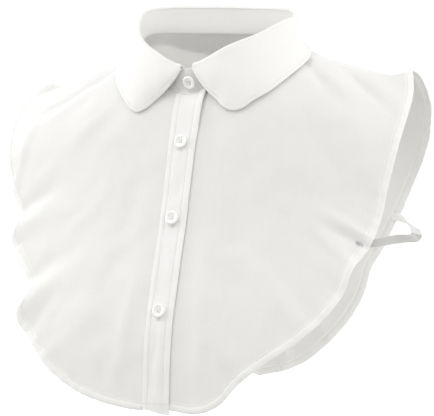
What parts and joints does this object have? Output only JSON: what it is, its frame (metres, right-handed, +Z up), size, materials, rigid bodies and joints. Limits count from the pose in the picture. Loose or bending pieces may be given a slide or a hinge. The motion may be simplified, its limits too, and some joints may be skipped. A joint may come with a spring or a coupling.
{
  "type": "detachable shirt collar",
  "caption": "Detachable shirt collar: a rounded turned-down collar on a stand, front and back bibs, a buttoned placket and a narrow elastic at each side.",
  "frame": {"origin": "middle of the neck, at the height of the neck seam's sides, where the wearer's neck and shoulders hold the part up", "axes": "+Z up, the front faces -Y, +X is the wearer's left"},
  "size_m": [0.3576, 0.211, 0.3353],
  "materials": {
    "bib_cloth": "white plain-woven cotton poplin, pressed, matt",
    "collar_cloth": "white cotton poplin, fused and topstitched, matt",
    "button": "white pearly polyester resin, polished",
    "elastic": "narrow white woven elastic, ribbed"
  },
  "bodies": {
    "root": {"front_left": "bib_cloth", "front_right": "bib_cloth", "back": "bib_cloth", "placket": "bib_cloth", "collar_stand": "collar_cloth", "collar_leaf": "collar_cloth", "button_1": "button", "button_2": "button", "button_3": "button", "button_4": "button", "elastic_left": "elastic", "elastic_right": "elastic"}
  },
  "joints": []
}
